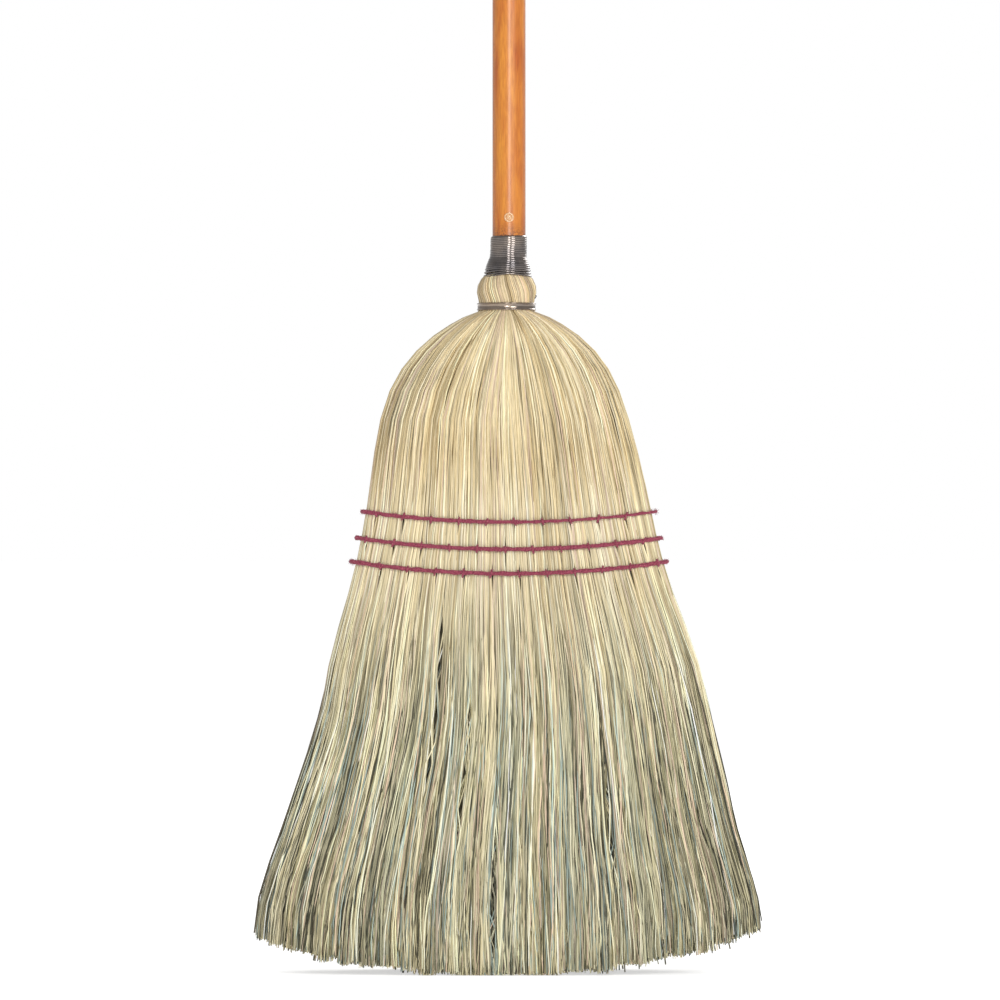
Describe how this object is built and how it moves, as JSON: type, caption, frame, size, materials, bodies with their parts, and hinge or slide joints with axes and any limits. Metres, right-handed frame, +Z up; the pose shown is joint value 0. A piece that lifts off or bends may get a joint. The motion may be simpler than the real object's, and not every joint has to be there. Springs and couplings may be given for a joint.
{
  "type": "corn straw broom",
  "caption": "Upright flat broom: a fanned, stitched straw head wired to a long lacquered wooden handle, for sweeping.",
  "frame": {"origin": "the lowest point of the straw tips, on the handle's axis: the middle of the footprint", "axes": "+Z up along the handle, +X across the broad face, +Y through the thickness; the front is at -Y"},
  "size_m": [0.3662, 0.072, 1.4],
  "materials": {
    "lacquered_wood": "glossy amber lacquer over straight grain",
    "cover_straw": "dry pale golden broomcorn straw, greyer at the tips",
    "inner_straw": "dry broomcorn straw, darker inside the head",
    "grey_wire": "dull galvanised wire with bright highlights",
    "band_steel": "bright rolled steel strip",
    "bright_steel": "lacquered small nail",
    "crimson_twine": "twisted crimson twine"
  },
  "bodies": {
    "root": {"anchor_nail": "bright_steel", "binding_wire": "grey_wire", "cover_straw_back_1": "cover_straw", "cover_straw_back_2": "cover_straw", "cover_straw_back_3": "cover_straw", "cover_straw_back_4": "cover_straw", "cover_straw_back_5": "cover_straw", "cover_straw_back_6": "cover_straw", "cover_straw_back_7": "cover_straw", "cover_straw_back_8": "cover_straw", "cover_straw_front_1": "cover_straw", "cover_straw_front_2": "cover_straw", "cover_straw_front_3": "cover_straw", "cover_straw_front_4": "cover_straw", "cover_straw_front_5": "cover_straw", "cover_straw_front_6": "cover_straw", "cover_straw_front_7": "cover_straw", "cover_straw_front_8": "cover_straw", "handle": "lacquered_wood", "inner_straw_left_1": "inner_straw", "inner_straw_left_2": "inner_straw", "inner_straw_left_3": "inner_straw", "inner_straw_middle": "inner_straw", "inner_straw_right_1": "inner_straw", "inner_straw_right_2": "inner_straw", "inner_straw_right_3": "inner_straw", "neck_band": "band_steel", "shoulder_straw_left": "cover_straw", "shoulder_straw_right": "cover_straw", "stitch_row_lower": "crimson_twine", "stitch_row_middle": "crimson_twine", "stitch_row_upper": "crimson_twine", "winding_wire": "grey_wire"}
  },
  "joints": []
}
